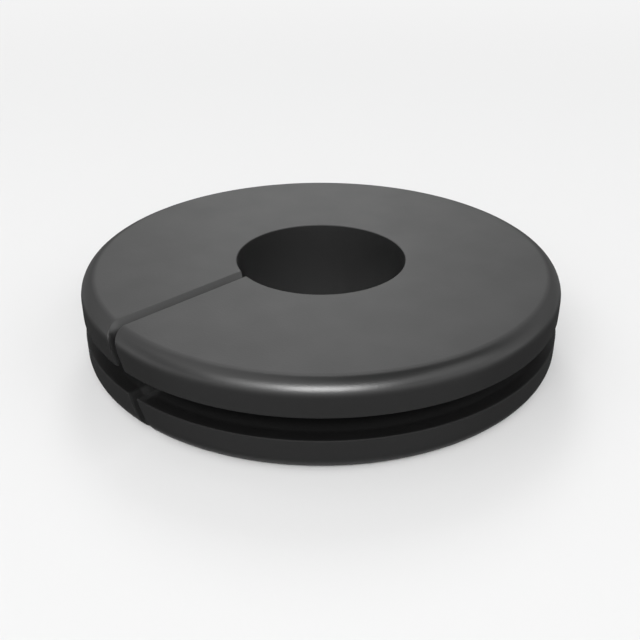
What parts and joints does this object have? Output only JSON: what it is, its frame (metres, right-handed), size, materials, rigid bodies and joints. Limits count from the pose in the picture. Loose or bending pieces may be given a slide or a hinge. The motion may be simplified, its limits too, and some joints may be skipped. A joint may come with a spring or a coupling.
{
  "type": "rubber grommet",
  "caption": "Split rubber grommet: a flanged ring with a panel groove, a cable bore and a slanted slit, lining a hole in sheet metal so that a cable passes through unchafed.",
  "frame": {"origin": "on the bore's axis at the middle of the panel groove, which is the middle of the panel it is fitted to", "axes": "+Z along the bore, out of the top flange; -Y along the slit, from the bore to the rim; +X completes a right-handed frame, and the slit leans towards it on the way down"},
  "size_m": [0.035, 0.035, 0.0064],
  "materials": {
    "rubber": "satin"
  },
  "bodies": {
    "root": {"grommet": "rubber"}
  },
  "joints": []
}
